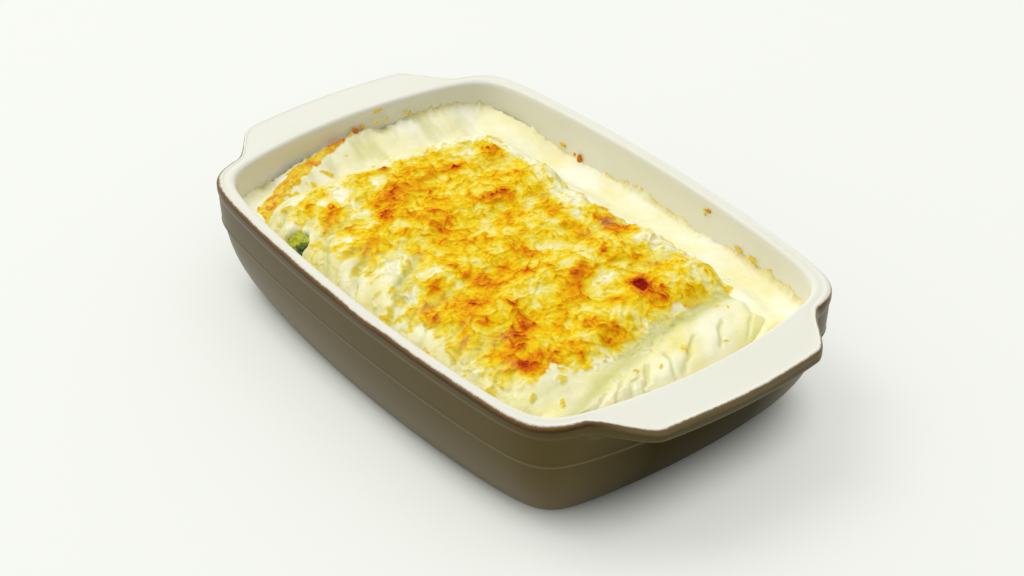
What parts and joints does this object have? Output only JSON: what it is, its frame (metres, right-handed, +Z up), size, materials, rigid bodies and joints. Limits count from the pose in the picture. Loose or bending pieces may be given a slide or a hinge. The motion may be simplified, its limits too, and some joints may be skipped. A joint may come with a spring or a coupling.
{
  "type": "baked cannelloni in a dish",
  "caption": "Filled cannelloni baked side by side in white sauce with a browned top, in an oblong stoneware dish with two handle lugs.",
  "frame": {"origin": "middle of the dish's base, on the surface it stands on", "axes": "+X along the dish, from the end with the high baked sauce to the end with the sunken roll; +Y across it, from the side the cannelloni nearly touch to the open sauce channel; +Z up"},
  "size_m": [0.2764, 0.1668, 0.0518],
  "materials": {
    "stoneware": "glazed, taupe outside and white inside",
    "bechamel": "smooth, slightly glossy",
    "baked_pasta": "browned cheese and sauce, rough",
    "spinach": "moist, uneven"
  },
  "bodies": {
    "root": {"dish": "stoneware", "sauce": "bechamel", "roll_1": "baked_pasta", "roll_2": "baked_pasta", "roll_3": "baked_pasta", "roll_4": "baked_pasta", "roll_5": "baked_pasta", "roll_6": "baked_pasta", "filling_1": "spinach"}
  },
  "joints": []
}
